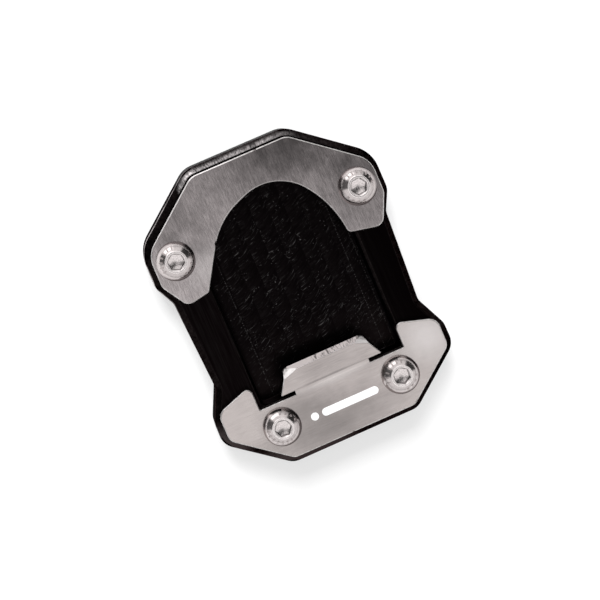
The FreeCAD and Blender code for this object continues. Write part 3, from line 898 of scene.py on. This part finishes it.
def socketSkin():
    material, tree, shader, place = newMaterial("socketSteel")
    chatter = noiseNode(tree, place, *screw["chatterNoise"])
    floorTone = mixColours(tree, mapRange(tree, chatter, *screw["chatter"]),
                           darker(screw["socketSteel"], screw["socketWorn"]), screw["socketSteel"])
    upright = mapRange(tree, ownFacing(tree)[2], *screw["upright"])
    # painted shade on the upright walls of the socket
    fill(tree, shader["Base Color"], mixColours(tree, upright, floorTone, screw["wallShade"]))
    shader["Roughness"].default_value = screw["socketRoughness"]
    addBump(tree, shader, chatter, *screw["chatterBump"])
    return material


def raisedSkin(name, look):
    material, tree, shader, place = newMaterial(name, look["metallic"])
    wear = mapRange(tree, noiseNode(tree, place, *screw["raisedNoise"]), *screw["raisedWear"])
    wearAndHighlight = darker(look["steel"], screw["raisedWorn"])
    fill(tree, shader["Base Color"], mixColours(tree, wear, wearAndHighlight, look["steel"]))
    shader["Roughness"].default_value = look["roughness"]
    return material


def domeRings():
    # An arc from the rim to the collar that swells beyond the straight line
    (r0, z0), (r1, z1) = screw["rings"][-1], screw["domeTop"]
    length = math.hypot(r1 - r0, z1 - z0)
    outwardR, outwardZ = (z1 - z0) / length, (r0 - r1) / length
    rings = []
    for i in range(1, screw["domeSteps"] + 1):
        t = i / screw["domeSteps"]
        swell = 4 * screw["domeSwell"] * t * (1 - t)
        rings.append((r0 + (r1 - r0) * t + outwardR * swell, z0 + (z1 - z0) * t + outwardZ * swell))
    return rings


def turnedScrew(name):
    # A disc drawn out ring by ring from the tip of the shank to the top of the head
    rings = (*screw["rings"], *domeRings(), screw["collarTop"])
    bpy.ops.object.select_all(action="DESELECT")
    bpy.ops.mesh.primitive_circle_add(vertices=screw["sides"], radius=rings[0][0] * mm, fill_type="NGON",
                                      location=(0, 0, 0))
    piece = bpy.context.object
    piece.name = piece.data.name = name
    bpy.ops.object.mode_set(mode="EDIT")
    bpy.ops.mesh.select_all(action="SELECT")
    bpy.ops.transform.translate(value=(0, 0, rings[0][1] * mm))
    for (r0, z0), (r1, z1) in zip(rings, rings[1:]):
        bpy.ops.mesh.extrude_region_move(TRANSFORM_OT_translate={"value": (0, 0, (z1 - z0) * mm)})
        bpy.ops.transform.resize(value=(r1 / r0, r1 / r0, 1), center_override=(0, 0, 0))
    bpy.ops.mesh.select_all(action="SELECT")
    bpy.ops.mesh.normals_make_consistent(inside=False)
    bpy.ops.object.mode_set(mode="OBJECT")
    return piece


def cutCone(piece, sides, radius, depth, height):
    # A cone that points down, with its middle at this height
    bpy.ops.object.select_all(action="DESELECT")
    bpy.ops.mesh.primitive_cone_add(vertices=sides, radius1=0, radius2=radius * mm, depth=depth * mm,
                                    location=(0, 0, height * mm))
    cutWith(piece, bpy.context.object)


def cutSocket(piece):
    # A hexagon, the tip of the drill below it and a bevelled mouth
    top, depth, above = screw["collarTop"][1], screw["socketDepth"], screw["aboveHead"]
    radius = screw["socketWidth"] / 2
    bpy.ops.object.select_all(action="DESELECT")
    bpy.ops.mesh.primitive_cylinder_add(vertices=6, radius=screw["socketWidth"] / math.sqrt(3) * mm,
                                        depth=(depth + above) * mm, rotation=(0, 0, screw["socketTurn"]),
                                        location=(0, 0, (top + above / 2 - depth / 2) * mm))
    cutWith(piece, bpy.context.object)
    tip = radius / math.tan(math.radians(screw["tipAngle"] / 2))
    cutCone(piece, screw["tipSides"], radius * screw["tipShare"], tip,
            top - depth - tip / 2 + screw["tipOverlap"])
    mouth = screw["mouth"] + 2 * screw["mouthRaise"]
    cutCone(piece, screw["sides"], mouth, mouth, top - screw["mouth"] / 2 + screw["mouthRaise"])


def addMark(size, slope, angle, height):
    # A raised block on the dome
    width, reach = size
    bpy.ops.object.select_all(action="DESELECT")
    bpy.ops.mesh.primitive_cube_add(size=1.0)
    mark = bpy.context.object
    mark.scale = (reach * mm, width * mm, 2 * screw["markRise"] * mm)
    bpy.ops.object.transform_apply(location=False, rotation=False, scale=True)
    bevelEdges(mark, screw["markEdge"], segments=1)
    mark.rotation_euler = (0, slope, angle)
    mark.location = (screw["markRadius"] * math.cos(angle) * mm, screw["markRadius"] * math.sin(angle) * mm,
                     height * mm)
    return mark


def addMarks(piece, turn):
    # Plain raised bars on one side of the dome and dots on the other
    rings = [screw["rings"][-1]] + domeRings()
    outer, inner = next((a, b) for a, b in zip(rings, rings[1:]) if b[0] <= screw["markRadius"] <= a[0])
    slope = math.atan2(inner[1] - outer[1], outer[0] - inner[0])
    height = outer[1] + (outer[0] - screw["markRadius"]) * math.tan(slope)
    marks = []
    for count, step, size, start in ((screw["bars"], screw["barStep"], screw["barSize"], turn),
                                     (screw["dots"], screw["dotStep"], screw["dotSize"], turn + 180)):
        for i in range(count):
            angle = math.radians(start + (i - (count - 1) / 2) * step)
            marks.append(addMark(size, slope, angle, height))
    ownFaces = len(piece.data.polygons)
    makeActive(piece)
    for mark in marks:
        mark.select_set(True)
    bpy.ops.object.join()
    return ownFaces


def makeScrew(node, place, socketTurn, markTurn):
    piece = turnedScrew(node.replace("screw", "button_head"))
    cutSocket(piece)
    bevelEdges(piece, screw["edge"], angle=screw["edgeFrom"])
    piece.rotation_euler = (0, 0, math.radians(socketTurn))
    makeActive(piece)
    bpy.ops.object.transform_apply(location=True, rotation=True, scale=True)
    ownFaces = addMarks(piece, markTurn)
    piece.location = (place[0] * mm, place[1] * mm, sheetTop * mm)
    makeActive(piece)
    bpy.ops.object.transform_apply(location=True, rotation=True, scale=True)
    smoothPiece(piece, screw["smoothWithin"])
    piece.data.materials.clear()
    axis = Vector(place)
    collarRadius, collarHeight = screw["domeTop"]

    def screwRegion(middle, normal):
        # 0 is the turned head and the shank, 1 the socket and 2 the ring around it. 3 is for the marks
        away = (middle.xy - axis).length
        if away > collarRadius + screw["collarWithin"] or middle.z < sheetTop:
            return 0
        onRing = middle.z > sheetTop + collarHeight - screw["collarDepth"] and away > screw["socketWidth"] / 2
        return 2 if onRing and normal.z > screw["collarUp"] else 1

    paintFaces(piece, (screwSteel, socketSteel, collarSteel, markSteel), screwRegion)
    for face in piece.data.polygons[ownFaces:]:
        face.material_index = 3
    finishPiece(piece, node)


screwSteel = polishedSteel()
socketSteel = socketSkin()
# the ring around the socket: a lighter, less metallic copy of the steel, as a painted highlight
collarSteel = raisedSkin("collarSteel", screw["collar"])
markSteel = raisedSkin("markSteel", screw["mark"])
for node, (place, socketTurn, markTurn) in screwPlaces.items():
    makeScrew(node, place, socketTurn, markTurn)
print("screws done")
